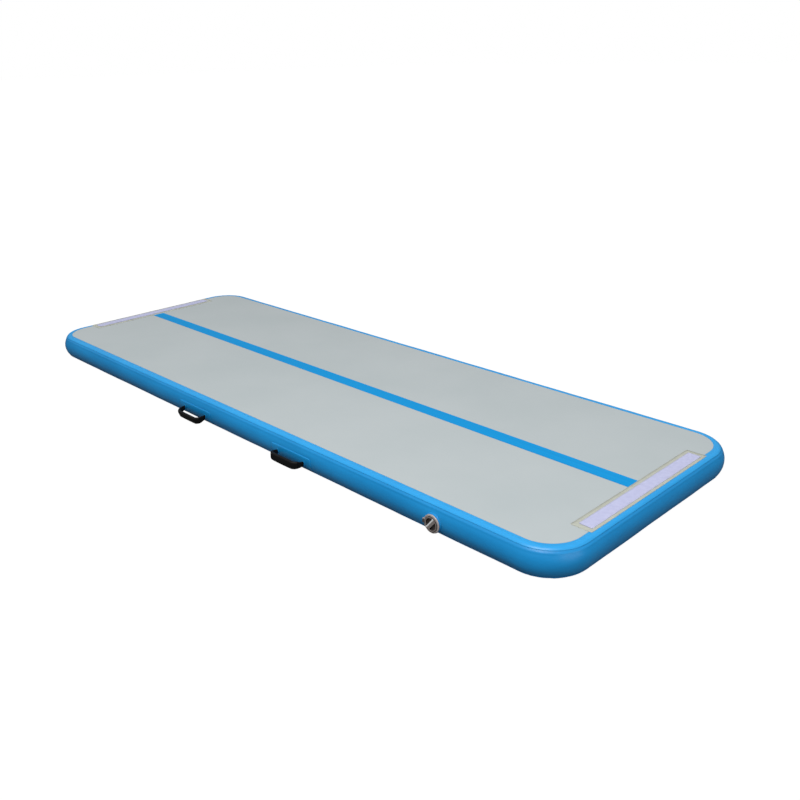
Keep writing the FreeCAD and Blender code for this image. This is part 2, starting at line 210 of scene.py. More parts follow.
def material(name, build):
    made = bpy.data.materials.new(name)
    made.use_nodes = True
    tree = made.node_tree
    tree.nodes.clear()
    place = add(tree, "TexCoord").outputs["Object"]
    shader = add(tree, "BsdfPrincipled", build(tree, place))
    add(tree, "OutputMaterial", {"Surface": shader.outputs["BSDF"]})
    made.diffuse_color = shader.inputs["Base Color"].default_value
    return made


# %% [markdown]
# ## Coated cloth
#
# The faces and the wall are polyester cloth coated with PVC. The grey face is calendered between
# rollers, which leaves it matt with the weave just showing through; the blue wall is smoother and
# has a soft sheen. The edge tapes are the wall's cloth painted a slightly paler blue, a painted
# highlight for the upper shoulder, which catches more of the light; the lower tape shares it. The
# faces and the wall vary a little in tone over tens of centimetres. The real weave has about ten
# threads to the centimetre, which is too fine to show, so it is drawn at 3 mm and kept shallow.

# %% Grey face, blue wall and centre line
WEAVE = 3.0 * MM


def weave_height(tree, place, spacing):
    """Two sets of crossing threads, as height."""
    sides = []
    for direction in ("X", "Y"):
        wave = add(tree, "TexWave", {"Vector": place, "Scale": math.pi / 10 / spacing,
                                     "Distortion": 0.0}, bands_direction=direction)
        sides.append(wave.outputs["Fac"])
    return add(tree, "Math", {0: sides[0], 1: sides[1]}, operation="ADD").outputs[0]


def grey_face(tree, place):
    tone = add(tree, "TexNoise", {"Vector": place, "Scale": 3.0, "Detail": 3.0})
    colour = add(tree, "ValToRGB", {"Fac": tone.outputs["Fac"]},
                 [(0.30, "B9C2C4"), (0.70, "BEC6C8")])
    gloss = add(tree, "TexNoise", {"Vector": place, "Scale": 14.0, "Detail": 4.0})
    rough = add(tree, "MapRange", {"Value": gloss.outputs["Fac"], "To Min": 0.50, "To Max": 0.62})
    threads = weave_height(tree, place, WEAVE)
    relief = add(tree, "Bump", {"Height": threads, "Distance": 0.03 * MM, "Strength": 1.0})
    soft = add(tree, "TexNoise", {"Vector": place, "Scale": 22.0, "Detail": 2.0})
    relief = add(tree, "Bump", {"Height": soft.outputs["Fac"], "Distance": 0.4 * MM,
                                "Strength": 0.5, "Normal": relief.outputs["Normal"]})
    return {"Base Color": colour.outputs["Color"], "Roughness": rough.outputs["Result"],
            "Normal": relief.outputs["Normal"], "IOR": 1.5}


def blue_wall(tree, place, low="1390D5", high="1B9AE0"):
    tone = add(tree, "TexNoise", {"Vector": place, "Scale": 5.0, "Detail": 4.0})
    colour = add(tree, "ValToRGB", {"Fac": tone.outputs["Fac"]}, [(0.25, low), (0.75, high)])
    gloss = add(tree, "TexNoise", {"Vector": place, "Scale": 18.0, "Detail": 4.0})
    rough = add(tree, "MapRange", {"Value": gloss.outputs["Fac"], "To Min": 0.30, "To Max": 0.42})
    # the cloth's small dents, then the lengthwise pull of the weave
    dents = add(tree, "TexNoise", {"Vector": place, "Scale": 45.0, "Detail": 3.0})
    relief = add(tree, "Bump", {"Height": dents.outputs["Fac"], "Distance": 0.5 * MM,
                                "Strength": 0.35})
    fine = add(tree, "TexNoise", {"Vector": place, "Scale": 900.0, "Detail": 1.0})
    relief = add(tree, "Bump", {"Height": fine.outputs["Fac"], "Distance": 0.04 * MM,
                                "Strength": 0.6, "Normal": relief.outputs["Normal"]})
    return {"Base Color": colour.outputs["Color"], "Roughness": rough.outputs["Result"],
            "Normal": relief.outputs["Normal"], "IOR": 1.5}


def blue_print(tree, place):
    """Screen ink on the face: flatter than the wall, with faint streaks along the line."""
    stretched = add(tree, "Mapping", {"Vector": place, "Scale": (1.2, 160.0, 1.0)})
    streak = add(tree, "TexNoise", {"Vector": stretched.outputs["Vector"], "Scale": 1.0,
                                    "Detail": 3.0})
    colour = add(tree, "ValToRGB", {"Fac": streak.outputs["Fac"]},
                 [(0.3, "0693D8"), (0.7, "0A9BE1")])
    relief = add(tree, "Bump", {"Height": weave_height(tree, place, WEAVE),
                                "Distance": 0.03 * MM, "Strength": 1.0})
    return {"Base Color": colour.outputs["Color"], "Roughness": 0.55,
            "Normal": relief.outputs["Normal"], "Specular IOR Level": 0.15}


coated_face = material("calendered_grey_pvc_cloth", grey_face)
coated_wall = material("smooth_blue_pvc_cloth", blue_wall)
# painted highlight: the tapes' paler blue stands in for the light on the upper shoulder, and the lower
# tape shares it
tape_cloth_painted_paler = material("blue_pvc_tape_painted_paler",
                       lambda tree, place: blue_wall(tree, place, "21A0E7", "2AAAF0"))
printed_line = material("blue_screen_ink", blue_print)
print("coated cloths", coated_face.name, coated_wall.name, tape_cloth_painted_paler.name, printed_line.name)

# %% [markdown]
# ## Webbing, pads and grips
#
# The carry straps are flat polyester webbing, woven in ribs across the width, and its fibres give
# a faint sheen. The grips are sleeves of the same black cloth over foam. The end pads are a warm
# grey coated cloth with a strip of loop pile sewn to it, which looks pale and slightly furry.

# %% Black webbing, padded sleeve and pad cloths
RIB = 1.6 * MM


def webbing(tree, place):
    along = add(tree, "Attribute", attribute_name="along")
    rib = add(tree, "Math", {0: along.outputs["Fac"], 1: 2 * math.pi / RIB}, operation="MULTIPLY")
    rib = add(tree, "Math", {0: rib.outputs[0]}, operation="SINE")
    fibre = add(tree, "TexNoise", {"Vector": place, "Scale": 1400.0, "Detail": 2.0})
    height = add(tree, "Math", {0: fibre.outputs["Fac"], 1: 0.8, 2: rib.outputs[0]},
                 operation="MULTIPLY_ADD")
    relief = add(tree, "Bump", {"Height": height.outputs[0], "Distance": 0.12 * MM,
                                "Strength": 0.9})
    colour = add(tree, "ValToRGB", {"Fac": fibre.outputs["Fac"]},
                 [(0.3, "050506"), (0.75, "0F0F11")])
    return {"Base Color": colour.outputs["Color"], "Roughness": 0.70, "Specular IOR Level": 0.2,
            "Normal": relief.outputs["Normal"]}


def sleeve(tree, place):
    wide = add(tree, "TexNoise", {"Vector": place, "Scale": 60.0, "Detail": 3.0})
    fibre = add(tree, "TexVoronoi", {"Vector": place, "Scale": 1 / (1.1 * MM)})
    relief = add(tree, "Bump", {"Height": wide.outputs["Fac"], "Distance": 0.8 * MM,
                                "Strength": 0.4})
    relief = add(tree, "Bump", {"Height": fibre.outputs["Distance"], "Distance": 0.12 * MM,
                                "Strength": 0.6, "Normal": relief.outputs["Normal"]})
    colour = add(tree, "ValToRGB", {"Fac": wide.outputs["Fac"]},
                 [(0.3, "040405"), (0.7, "0B0B0C")])
    return {"Base Color": colour.outputs["Color"], "Roughness": 0.55, "Specular IOR Level": 0.25,
            "Normal": relief.outputs["Normal"]}


def pad_cloth(tree, place):
    tone = add(tree, "TexNoise", {"Vector": place, "Scale": 24.0, "Detail": 4.0})
    colour = add(tree, "ValToRGB", {"Fac": tone.outputs["Fac"]},
                 [(0.3, "B8BBAF"), (0.7, "C0C3B7")])
    relief = add(tree, "Bump", {"Height": weave_height(tree, place, 2.0 * MM),
                                "Distance": 0.05 * MM, "Strength": 1.0})
    return {"Base Color": colour.outputs["Color"], "Roughness": 0.7,
            "Normal": relief.outputs["Normal"]}


def loop_pile(tree, place):
    loops = add(tree, "TexVoronoi", {"Vector": place, "Scale": 1 / (1.6 * MM)})
    tufts = add(tree, "TexNoise", {"Vector": place, "Scale": 70.0, "Detail": 4.0})
    colour = add(tree, "ValToRGB", {"Fac": tufts.outputs["Fac"]},
                 [(0.3, "BCBFE2"), (0.7, "C6C9EA")])
    relief = add(tree, "Bump", {"Height": loops.outputs["Distance"], "Distance": 0.5 * MM,
                                "Strength": 0.5})
    return {"Base Color": colour.outputs["Color"], "Roughness": 0.85, "Sheen Weight": 0.2,
            "Normal": relief.outputs["Normal"]}


def thread(low, high):
    def build(tree, place):
        twist = add(tree, "TexNoise", {"Vector": place, "Scale": 2500.0, "Detail": 1.0})
        relief = add(tree, "Bump", {"Height": twist.outputs["Fac"], "Distance": 0.05 * MM})
        colour = add(tree, "ValToRGB", {"Fac": twist.outputs["Fac"]}, [(0.2, low), (0.8, high)])
        return {"Base Color": colour.outputs["Color"], "Roughness": 0.6,
                "Normal": relief.outputs["Normal"]}
    return build


black_webbing = material("black_polyester_webbing", webbing)
grip_sleeve = material("black_padded_sleeve", sleeve)
warm_pad = material("warm_grey_coated_cloth", pad_cloth)
lilac_loop = material("pale_loop_pile", loop_pile)
black_thread = material("black_bonded_thread", thread("0A0A0C", "151518"))
pale_thread = material("pale_bonded_thread", thread("B2B3AE", "C9CAC6"))
print("soft finishes ready")

# %% [markdown]
# ## Moulded and metal pieces
#
# The valve is injection-moulded nylon: light grey outside, darker in the chamber, with the slight
# orange-peel of a moulded surface. The cap's colour has painted shade, dull and brownish down in its
# wells, and a painted highlight, pale along one edge of its finger bar. The seals are soft black
# rubber and the spring is drawn stainless wire.

# %% Valve plastics, rubber and steel
def moulded(low, high, rough_low, rough_high):
    def build(tree, place):
        flow = add(tree, "TexNoise", {"Vector": place, "Scale": 80.0, "Detail": 3.0})
        colour = add(tree, "ValToRGB", {"Fac": flow.outputs["Fac"]}, [(0.3, low), (0.7, high)])
        peel = add(tree, "TexNoise", {"Vector": place, "Scale": 700.0, "Detail": 2.0})
        rough = add(tree, "MapRange", {"Value": flow.outputs["Fac"], "To Min": rough_low,
                                       "To Max": rough_high})
        relief = add(tree, "Bump", {"Height": peel.outputs["Fac"], "Distance": 0.03 * MM,
                                    "Strength": 0.6})
        return {"Base Color": colour.outputs["Color"], "Roughness": rough.outputs["Result"],
                "Normal": relief.outputs["Normal"], "IOR": 1.53}
    return build


def cap_painted_shade_and_highlight(tree, place):
    """The cap's grey nylon, with painted shade that turns it dull and brownish down in its wells, and a
    painted highlight, pale along one edge of the finger bar."""
    flow = add(tree, "TexNoise", {"Vector": place, "Scale": 80.0, "Detail": 3.0})
    bar_space = add(tree, "Mapping", {"Vector": place, "Location": tuple(-VALVE)})
    bar_space = add(tree, "VectorRotate", {"Vector": bar_space.outputs["Vector"], "Angle": BAR_ANGLE},
               rotation_type="Y_AXIS")
    spot = add(tree, "SeparateXYZ", {"Vector": bar_space.outputs["Vector"]})
    # painted shade: the colour darkens with depth into the cap's wells
    well_shade_depth = add(tree, "MapRange", {"Value": spot.outputs["Y"], "From Min": -2.6 * MM,
                                   "From Max": 2.0 * MM})
    colour = add(tree, "ValToRGB", {"Fac": well_shade_depth.outputs["Result"]},
                 [(0.0, "8F8783"), (0.35, "4E4643")])
    # painted highlight: a near-white line along the front of one edge of the finger bar
    edge = add(tree, "MapRange", {"Value": spot.outputs["Z"], "From Min": 1.8 * MM,
                                  "From Max": 2.8 * MM})
    front = add(tree, "MapRange", {"Value": spot.outputs["Y"], "From Min": -1.6 * MM,
                                   "From Max": -2.4 * MM})
    highlight_mask = add(tree, "Math", {0: edge.outputs["Result"], 1: front.outputs["Result"]},
               operation="MULTIPLY")
    inner = add(tree, "Math", {0: spot.outputs["Z"], 1: 8.0 * MM}, operation="LESS_THAN")
    highlight_mask = add(tree, "Math", {0: highlight_mask.outputs[0], 1: inner.outputs[0]}, operation="MULTIPLY")
    colour = add(tree, "MixRGB", {"Fac": highlight_mask.outputs[0], "Color1": colour.outputs["Color"],
                                  "Color2": linear("F2F4F4")})
    rough = add(tree, "MapRange", {"Value": flow.outputs["Fac"], "To Min": 0.3, "To Max": 0.42})
    return {"Base Color": colour.outputs["Color"], "Roughness": rough.outputs["Result"]}


def wire(tree, place):
    drawn = add(tree, "TexNoise", {"Vector": place, "Scale": 1500.0, "Detail": 2.0})
    rough = add(tree, "MapRange", {"Value": drawn.outputs["Fac"], "To Min": 0.2, "To Max": 0.38})
    return {"Base Color": linear("B9BABC"), "Metallic": 1.0, "Roughness": rough.outputs["Result"]}


def woven(low, high):
    def build(tree, place):
        tone = add(tree, "TexNoise", {"Vector": place, "Scale": 30.0, "Detail": 3.0})
        colour = add(tree, "ValToRGB", {"Fac": tone.outputs["Fac"]}, [(0.3, low), (0.7, high)])
        relief = add(tree, "Bump", {"Height": weave_height(tree, place, 2.0 * MM),
                                    "Distance": 0.1 * MM})
        return {"Base Color": colour.outputs["Color"], "Roughness": 0.8,
                "Normal": relief.outputs["Normal"]}
    return build


BAR_ANGLE = math.radians(51)        # of the cap's finger bar
light_nylon = material("light_grey_moulded_nylon", moulded("B9AEA9", "C6BCB8", 0.28, 0.40))
# the cap's finish carries painted shade in its wells and a painted highlight on the finger bar
cap_nylon = material("grey_nylon_painted_shade_and_highlight", cap_painted_shade_and_highlight)
strap_nylon = material("grey_brown_nylon", moulded("4A4441", "575150", 0.35, 0.48))
dark_nylon = material("dark_moulded_nylon", moulded("2B2C2F", "36373A", 0.35, 0.50))
soft_rubber = material("soft_black_rubber", moulded("121212", "1C1C1C", 0.60, 0.75))
spring_wire = material("drawn_stainless_wire", wire)
base_weave = material("woven_polyester_base", woven("D2D3CC", "DEDFD9"))
yarn_finish = material("white_polyester_yarn", woven("E2E2DE", "ECECE8"))
print("hard finishes ready")

# %% Put the finishes on the pieces that the model already has right
CARRIED_OVER = {
    coated_wall: ("top_seam_tape", "bottom_seam_tape", "valve_boot"),
    base_weave: ("top_base_cloth", "bottom_base_cloth"),
    yarn_finish: ("drop_stitch_yarns",),
    light_nylon: ("valve_housing", "tether_anchor"),
    cap_nylon: ("valve_cap",),
    strap_nylon: ("valve_tether", "valve_button"),
    dark_nylon: ("valve_backing_ring", "valve_lock_nut", "valve_stem_guide", "valve_guide_bush",
                 "valve_stem", "valve_stem_clip"),
    soft_rubber: ("valve_gasket", "valve_seal_disc", "valve_cap_seal"),
}
for finish, nodes in CARRIED_OVER.items():
    for node in nodes:
        slots = frame["nodes"][node].data.materials
        slots.clear()
        slots.append(finish)
print("carried over", sum(len(nodes) for nodes in CARRIED_OVER.values()), "nodes")

# %% [markdown]
# ## How the inflated skin creases
#
# Blown-up PVC is never quite smooth. It has fine creases that run along the shoulder, where the
# tape ends, soft dents a hand's width long on the wall, and short puckers round the corners, where
# flat strip has been bent. One function says how far any point of the skin moves in or out, so the
# wall and the tapes on it move together. It dies out under the patches and on the flat faces.

# %% Creases of the skin
RIDGE = math.radians(49)            # seen from the wall's middle, where the tape ends
FOLD = math.radians(42)
CALM_FROM, CALM_OVER = 32 * MM, 14 * MM         # from the valve's middle
PATCH_CALM = 8 * MM
HANDLES = ("near_left", "near_right", "far_left", "far_right")
PATCHES = [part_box("handle_" + name + "_patch") for name in HANDLES]


def outwards(x, y):
    """How far outside the flat face's outline a point is, and how far into a corner's bend: 0 on
    the straight sides and 1 in the middle of the corner."""
    over = Vector((max(abs(x) - RUN_X, 0), max(abs(y) - RUN_Y, 0)))
    return over.length - CORNER, math.sin(2 * math.atan2(over.y, over.x))


def calm(point):
    """1 on bare wall, falling to 0 under the welded patches and the valve."""
    value = 1.0
    if point.y < 0:
        value = min(1.0, max(0.0, ((point - VALVE).xz.length - CALM_FROM) / CALM_OVER))
    for low, high in PATCHES:
        if low.y * point.y > 0:
            gap = max(low.x - point.x, point.x - high.x, low.z - point.z, point.z - high.z)
            value = min(value, max(0.0, min(1.0, gap / PATCH_CALM)))
    return value


def bump_at(lift, middle, width):
    """A smooth bump across the skin, its width in degrees."""
    return math.exp(-((lift - middle) / math.radians(width)) ** 2)


def crease(point):
    """How far the skin stands out at a point, in metres."""
    out, corner = outwards(point.x, point.y)
    if out <= 0:
        return 0.0
    lift = math.atan2(point.z - MIDDLE, out + 20 * MM)
    across = lift * 0.05
    fade = min(1.0, out / (4 * MM))
    ridge = bump_at(lift, RIDGE, 9) + 0.5 * bump_at(lift, -RIDGE, 9)
    x, y = point.x, point.y
    lines = noise.noise(Vector((x * 7, y * 7, across * 230))) * ridge * 0.26
    dents = noise.noise(Vector((x * 6.5, y * 6.5, across * 26 + 40))) * 0.75
    dents += noise.noise(Vector((x * 21, y * 21, across * 60 + 80))) * 0.20
    puckers = noise.noise(Vector((x * 75, y * 75, across * 22 + 120)))
    puckers *= corner * (0.30 + 0.7 * abs(math.sin(lift)))
    # the welded edge of the tape is a fine ridge, and the wall folds a little just below it
    weld = 0.45 * bump_at(lift, RIDGE, 2.0) + 1.3 * bump_at(lift, FOLD, 3.4)
    weld *= 0.85 + 0.5 * noise.noise(Vector((x * 2.5, y * 2.5, 5)))
    return (lines + dents + puckers + weld) * fade * calm(point) * MM


def creased(bm):
    """Moves every point of a skin in or out along its own normal."""
    bm.normal_update()
    for vert in bm.verts:
        vert.co += vert.normal * crease(vert.co)
        vert.co.z = max(vert.co.z, 0.0)


print("crease at the ridge", round(crease(Vector((0.5, -FLAT_Y - 0.016, 0.0915))) / MM, 3), "mm")

# %% [markdown]
# ## The wall and its tapes
#
# The wall and the two edge tapes all follow the same section. Its arcs are made by spinning one
# point, and the whole line is then carried round the mat: a quarter turn at each corner and a
# straight run along each side. A spin with no angle and a step makes the straight run, so one
# operator does both. The Solidify modifier then gives each its thickness.

# %% Section and carrying it round
COLUMN = 12 * MM
CORNER_STEPS = 20


def spun(bm, geometry, steps, angle=0.0, centre=(0, 0, 0), axis=(0, 0, 1), step=(0, 0, 0)):
    turned = bmesh.ops.spin(bm, geom=geometry, cent=centre, axis=axis, dvec=step, angle=angle,
                            steps=steps, use_merge=False)
    return turned["geom_last"]


def section(bm, offset, flat, stop, row):
    """The skin's line from `flat` inboard on the top face down to the direction `stop` above
    level, `offset` outside the bare wall, with points about `row` apart."""
    top = MIDDLE + HALF_WALL + offset
    moving = [bm.verts.new((-flat, 0, top))]
    if flat:
        steps = max(1, round(flat / row))
        moving = spun(bm, moving, steps, step=(flat / steps, 0, 0))
    arcs = [((0, 0, MIDDLE + RISE), SHOULDER + offset, math.pi / 2, max(stop, JOIN))]
    if stop < JOIN:
        arcs.append(((SIDE_CENTRE, 0, MIDDLE), SIDE_RADIUS + offset, JOIN, max(stop, -JOIN)))
    if stop < -JOIN:
        arcs.append(((0, 0, MIDDLE - RISE), SHOULDER + offset, -JOIN, stop))
    for centre, radius, start, end in arcs:
        steps = max(2, round(radius * (start - end) / row))
        moving = spun(bm, points_of(moving), steps, start - end, centre, (0, 1, 0))
    bmesh.ops.remove_doubles(bm, verts=bm.verts, dist=0.001 * MM)


def carried_round(bm):
    """Moves the section out to a corner and carries it once round the mat."""
    bmesh.ops.translate(bm, verts=bm.verts, vec=(RUN_X + CORNER, RUN_Y, 0))
    centre = Vector((RUN_X, RUN_Y, 0))
    moving = bm.verts[:] + bm.edges[:]
    for way, length in (((-1, 0, 0), 2 * RUN_X), ((0, -1, 0), 2 * RUN_Y),
                        ((1, 0, 0), 2 * RUN_X), ((0, 1, 0), 2 * RUN_Y)):
        moving = spun(bm, moving, CORNER_STEPS, math.pi / 2, centre)
        steps = round(length / COLUMN)
        moving = spun(bm, moving, steps, step=Vector(way) * length / steps)
        centre += Vector(way) * length
    bmesh.ops.remove_doubles(bm, verts=bm.verts, dist=0.01 * MM)


def face_outwards(bm):
    """An open skin has no inside, so one face on the valve's side decides for all of them."""
    bmesh.ops.recalc_face_normals(bm, faces=bm.faces)
    bm.faces.ensure_lookup_table()
    judge = min(bm.faces, key=lambda f: f.calc_center_median().y)
    if judge.normal.y > 0:
        bmesh.ops.reverse_faces(bm, faces=bm.faces)


# %% The wall, with the valve's hole cut in it
HOLE = 25.8 * MM
bm = bmesh.new()
section(bm, 0, 0, -math.pi / 2, 2.4 * MM)
carried_round(bm)
face_outwards(bm)
inside = [f for f in bm.faces if f.calc_center_median().y < 0
          and (f.calc_center_median() - VALVE).xz.length < HOLE]
bmesh.ops.delete(bm, geom=inside, context="FACES")
for vert in bm.verts:
    if any(e.is_boundary for e in vert.link_edges) and vert.co.y < 0 \
            and (vert.co - VALVE).xz.length < 2 * HOLE:
        off = (vert.co - VALVE).xz.normalized() * HOLE
        vert.co.x, vert.co.z = VALVE.x + off.x, VALVE.z + off.y
creased(bm)
wall = piece("blue_wall_band", bm, "mat", coated_wall, ["side_wall"])
thicken(wall, 1.2 * MM)

# %% The two edge tapes
def turned_under(bm):
    """Mirrors a piece of the top to the underside."""
    bmesh.ops.transform(bm, matrix=Matrix.Scale(-1, 4, (0, 0, 1)), verts=bm.verts)
    bmesh.ops.translate(bm, verts=bm.verts, vec=(0, 0, 2 * MIDDLE))
    bmesh.ops.reverse_faces(bm, faces=bm.faces)


def edge_tape(name, node, upside_down):
    bm = bmesh.new()
    section(bm, TAPE, TAPE_LAP, JOIN, 1.8 * MM)
    carried_round(bm)
    face_outwards(bm)
    if upside_down:
        turned_under(bm)
    creased(bm)
    made = piece(name, bm, "mat", tape_cloth_painted_paler, [node])
    thicken(made, TAPE)


edge_tape("upper_edge_band", "top_edge_tape", False)
edge_tape("lower_edge_band", "bottom_edge_tape", True)

# %% [markdown]
# ## The faces
#
# A face is a flat sheet with rounded corners, under a millimetre thick, and the yarns hold it flat.
# It isn't quite even near its edge: the inner seam tape lies under the last 16 mm and lifts the
# sheet by part of its thickness. Insetting the outline a few times gives rings of faces there,
# and the rest can stay one large flat face.

# %% Grey top and bottom faces
SHEET = 0.9 * MM
TELEGRAPH = 0.28 * MM
SEAM_LAP = 16 * MM


def rounded_outline(bm, half_x, half_y, radius, height, steps=CORNER_STEPS):
    """One flat face with rounded corners, made from a corner point that is carried round."""
    centre = Vector((half_x - radius, half_y - radius, height))
    moving = [bm.verts.new(centre + Vector((radius, 0, 0)))]
    for way, length in (((-1, 0, 0), 2 * centre.x), ((0, -1, 0), 2 * centre.y),
                        ((1, 0, 0), 2 * centre.x), ((0, 1, 0), 2 * centre.y)):
        moving = spun(bm, points_of(moving), steps, math.pi / 2, centre)
        moving = spun(bm, points_of(moving), 1, step=Vector(way) * length)
        centre += Vector(way) * length
    bmesh.ops.remove_doubles(bm, verts=bm.verts, dist=0.01 * MM)
    face = bmesh.ops.contextual_create(bm, geom=bm.edges[:])["faces"][0]
    if face.normal.z < 0:
        face.normal_flip()
    return face


def flat_face(name, node, upside_down):
    bm = bmesh.new()
    face = rounded_outline(bm, FLAT_X, FLAT_Y, CORNER, FACE_TOP)
    for width, lift in ((SEAM_LAP - 3 * MM, 0), (3 * MM, TELEGRAPH), (3 * MM, TELEGRAPH * 0.5),
                        (30 * MM, 0)):
        bmesh.ops.inset_region(bm, faces=[face], thickness=width, use_even_offset=True)
        for vert in face.verts:
            vert.co.z = FACE_TOP + lift
    for vert in bm.verts:
        out, corner = outwards(vert.co.x, vert.co.y)
        if -SEAM_LAP < out < -TAPE_LAP * 0.5:
            vert.co.z = FACE_TOP + TELEGRAPH
    if upside_down:
        turned_under(bm)
    made = piece(name, bm, "mat", coated_face, [node])
    thicken(made, SHEET)


flat_face("grey_top_face", "top_sheet", False)
flat_face("grey_bottom_face", "bottom_sheet", True)

# %% [markdown]
# ## The centre line and the end pads
#
# The line is printed ink on a thin film that is welded down, so it is a plate about half a
# millimetre thick with soft edges. The pads are cloth: the backing laps from the face up onto the
# edge band, so it has a small step, and a double row of stitches runs round it. The strip of loop
# pile is thicker, with rolled edges. Stitches are short capsules, laid along a line.

# %% Flat plates with soft edges
def soft_plate(name, low, high, corner, edge, finish, node, shape=None, cuts=0):
    """A thin plate between two corners, with rounded corners in plan and a rolled top edge."""
    bm = bmesh.new()
    half = (high - low) / 2
    face = rounded_outline(bm, half.x, half.y, corner, 0, steps=4)
    bmesh.ops.inset_region(bm, faces=[face], thickness=edge, use_even_offset=True)
    for vert in face.verts:
        vert.co.z = edge * 0.6
    bmesh.ops.inset_region(bm, faces=[face], thickness=edge * 1.2, use_even_offset=True)
    for vert in face.verts:
        vert.co.z = edge
    if cuts:
        for axis, span in (((1, 0, 0), half.x), ((0, 1, 0), half.y)):
            steps = max(1, int(2 * span / cuts))
            for index in range(1, steps):
                spot = Vector(axis) * (-span + 2 * span * index / steps)
                bmesh.ops.bisect_plane(bm, geom=bm.verts[:] + bm.edges[:] + bm.faces[:],
                                       plane_co=spot, plane_no=axis)
    bmesh.ops.translate(bm, verts=bm.verts,
                        vec=((low + high) / 2).xy.to_3d() + Vector((0, 0, high.z - edge)))
    if shape:
        for vert in bm.verts:
            vert.co.z += shape(vert.co)
    made = piece(name, bm, "mat", finish, [node] if node else ())
    thicken(made, high.z - low.z - edge)
    return made


stripe_low, stripe_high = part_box("centre_stripe")
stripe = soft_plate("centre_line", stripe_low, stripe_high, 1.5 * MM, 0.3 * MM, printed_line,
                    "centre_stripe")

# %% Stitches
def stitched(name, points, pitch, width, finish, body, lift=0.0, gap=0.35, closed=True):
    """Short capsules along straight runs between points; each lies on its run."""
    bm = bmesh.new()
    ends = points[1:] + points[:1] if closed else points[1:]
    for start, end in zip(points, ends):
        run = end - start
        count = max(1, round(run.length / pitch))
        turn = run.to_track_quat("X", "Z").to_matrix().to_4x4()
        for index in range(count):
            spot = start + run * (index + 0.5) / count + Vector((0, 0, lift))
            size = Matrix.Diagonal((run.length / count * (1 - gap) / 2, width / 2, width / 2.6, 1))
            bmesh.ops.create_icosphere(bm, subdivisions=1, radius=1,
                                       matrix=Matrix.Translation(spot) @ turn @ size)
    return piece(name, bm, body, finish, ())


def frame_points(low, high, inset, height):
    return [Vector((x, y, height)) for x, y in (
        (low.x + inset, low.y + inset), (high.x - inset, low.y + inset),
        (high.x - inset, high.y - inset), (low.x + inset, high.y - inset))]


# %% End pads
PAD_EDGE = 0.4 * MM
PILE_EDGE = 0.9 * MM
RIM_INSET, SEAM_INSET = 5.5 * MM, 3 * MM        # of the rows of stitches
step_rise = MAT_TOP - FACE_TOP
for side in ("right", "left"):
    way = 1 if side == "right" else -1
    pad_low, pad_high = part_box("pad_backing_" + side)
    strip_low, strip_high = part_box("fastener_strip_" + side)
    step_at = (FLAT_X - TAPE_LAP) * way

    def draped(point):
        """The backing's rise from the face onto the edge band, over a few millimetres, and the
        small ripples of its loose rim."""
        over = (point.x - step_at) * way / (4 * MM)
        rise = step_rise * min(1.0, max(0.0, 0.5 + over / 2))
        ripple = noise.noise(Vector((point.x * 60, point.y * 35, 7))) * 0.14 * MM
        return rise - step_rise + ripple * (1 if rise < step_rise else 0.6)

    backing = soft_plate("end_pad_" + side, Vector((pad_low.x, pad_low.y, MAT_TOP)),
                         Vector((pad_high.x, pad_high.y, MAT_TOP + 0.8 * MM)), 4 * MM, PAD_EDGE,
                         warm_pad, "pad_backing_" + side, draped, cuts=9 * MM)

    def tufted(point):
        tuft = noise.noise(Vector((point.x * 420, point.y * 420, 3))) * 0.22
        tuft += noise.noise(Vector((point.x * 90, point.y * 90, 9))) * 0.18
        return (tuft - 0.2) * MM

    pile = soft_plate("loop_strip_" + side, strip_low, strip_high, 3 * MM, PILE_EDGE, lilac_loop,
                      "fastener_strip_" + side, tufted, cuts=3 * MM)
    stitched("pad_seam_" + side, frame_points(strip_low, strip_high, SEAM_INSET, strip_high.z),
             4 * MM, 0.9 * MM, pale_thread, "mat", lift=-0.25 * MM)
    rim = frame_points(pad_low, pad_high, RIM_INSET, 0)
    for point in rim:
        on_band = (point.x - step_at) * way > 0
        point.z = (MAT_TOP if on_band else FACE_TOP) + 0.75 * MM
    stitched("pad_rim_seam_" + side, rim, 5 * MM, 0.9 * MM, warm_pad, "mat")

# %% [markdown]
# ## Welded patches
#
# Each handle is held by an oval-cornered patch of the blue cloth, and the wall's end joint has a
# plain strip over it. A patch is a grid that is bent round the wall: its flat height becomes a
# place on the side arc. The edges are pressed thin where they are welded.

# %% Patches on the wall
PATCH_CORNER, JOINT_CORNER = 12 * MM, 4 * MM
PATCH_THICK = 0.9 * MM


def on_wall(x, height, off, side):
    """The point of the side arc at a height above the floor, `off` outside the bare wall."""
    lift = math.asin((height - MIDDLE) / SIDE_RADIUS)
    reach = FLAT_Y + SIDE_CENTRE + (SIDE_RADIUS + off) * math.cos(lift)
    return Vector((x, side * reach, MIDDLE + (SIDE_RADIUS + off) * math.sin(lift)))


def wall_patch(name, node, low, high, side, corner, thickness, finish):
    bm = bmesh.new()
    half_x, half_z = (high.x - low.x) / 2, (high.z - low.z) / 2
    face = rounded_outline(bm, half_x, half_z, corner, 0, steps=6)
    bmesh.ops.inset_region(bm, faces=[face], thickness=1.2 * MM, use_even_offset=True)
    for vert in face.verts:
        vert.co.z = thickness
    for axis, span in (((1, 0, 0), half_x), ((0, 1, 0), half_z)):
        steps = max(1, int(2 * span / (5 * MM)))
        for index in range(1, steps):
            bmesh.ops.bisect_plane(bm, geom=bm.verts[:] + bm.edges[:] + bm.faces[:],
                                   plane_co=Vector(axis) * (-span + 2 * span * index / steps),
                                   plane_no=axis)
    for vert in bm.verts:
        vert.co = on_wall((low.x + high.x) / 2 + vert.co.x, (low.z + high.z) / 2 + vert.co.y,
                          vert.co.z + 0.08 * MM, side)
    if side > 0:
        bmesh.ops.reverse_faces(bm, faces=bm.faces)
    made = piece(name, bm, "mat", finish, [node])
    thicken(made, 0.3 * MM)
    return made


